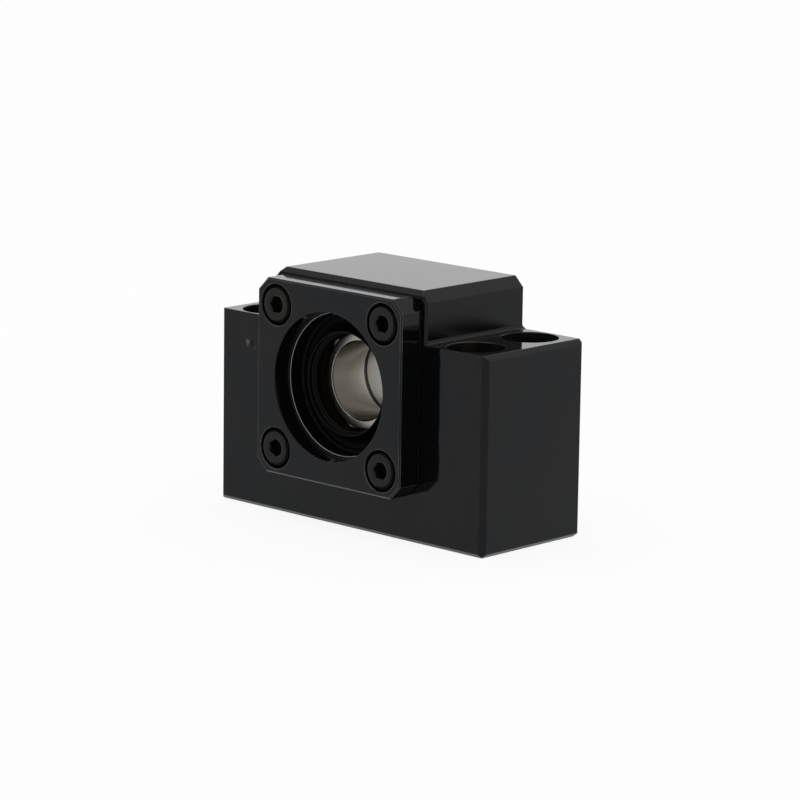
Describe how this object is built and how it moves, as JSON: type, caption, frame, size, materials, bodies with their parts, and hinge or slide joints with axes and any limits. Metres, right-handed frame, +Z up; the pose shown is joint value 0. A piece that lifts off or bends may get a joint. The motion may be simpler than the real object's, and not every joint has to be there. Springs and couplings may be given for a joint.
{
  "type": "ball screw end support",
  "caption": "Fixed-side end support for a ball screw: a ground steel block with paired angular contact bearings behind a screwed square cover, bolted down through both shoulders.",
  "frame": {"origin": "on the base, at the centre of the four mounting bolts, which is the middle of the block", "axes": "+X across the block, +Y along the shaft from the cover to the rear, +Z up"},
  "size_m": [0.07, 0.033, 0.048],
  "materials": {
    "black_oxide_steel": "ground steel, black oxide, oiled",
    "screw_steel": "black oxide, satin",
    "seal_rubber": "moulded nitrile rubber",
    "bearing_steel": "ground bearing steel",
    "ball_steel": "lapped",
    "cage_resin": "machined fabric-reinforced resin",
    "collar_steel": "ground"
  },
  "bodies": {
    "housing": {"housing": "black_oxide_steel", "bearing_cover": "black_oxide_steel", "cover_screws": "screw_steel", "front_seal": "seal_rubber", "rear_seal": "seal_rubber", "front_outer_ring": "bearing_steel", "rear_outer_ring": "bearing_steel"},
    "rotor": {"front_inner_ring": "bearing_steel", "rear_inner_ring": "bearing_steel", "rear_collar": "collar_steel"},
    "front_ball_set": {"front_cage": "cage_resin", "front_ball_01": "ball_steel", "front_ball_02": "ball_steel", "front_ball_03": "ball_steel", "front_ball_04": "ball_steel", "front_ball_05": "ball_steel", "front_ball_06": "ball_steel", "front_ball_07": "ball_steel", "front_ball_08": "ball_steel", "front_ball_09": "ball_steel", "front_ball_10": "ball_steel", "front_ball_11": "ball_steel", "front_ball_12": "ball_steel"},
    "rear_ball_set": {"rear_cage": "cage_resin", "rear_ball_01": "ball_steel", "rear_ball_02": "ball_steel", "rear_ball_03": "ball_steel", "rear_ball_04": "ball_steel", "rear_ball_05": "ball_steel", "rear_ball_06": "ball_steel", "rear_ball_07": "ball_steel", "rear_ball_08": "ball_steel", "rear_ball_09": "ball_steel", "rear_ball_10": "ball_steel", "rear_ball_11": "ball_steel", "rear_ball_12": "ball_steel"}
  },
  "joints": [
    {"name": "shaft_spin", "type": "hinge", "parent": "housing", "child": "rotor", "pos_m": [0, 0, 0.028], "axis": [0, 1, 0], "continuous": true},
    {"name": "front_cage_spin", "type": "hinge", "parent": "housing", "child": "front_ball_set", "pos_m": [0, -0.0055, 0.028], "axis": [0, 1, 0], "continuous": true},
    {"name": "rear_cage_spin", "type": "hinge", "parent": "housing", "child": "rear_ball_set", "pos_m": [0, 0.0035, 0.028], "axis": [0, 1, 0], "continuous": true}
  ],
  "couplings": [
    {"joint": "front_cage_spin", "follows": "shaft_spin", "ratio": 0.4123},
    {"joint": "rear_cage_spin", "follows": "shaft_spin", "ratio": 0.4123}
  ]
}
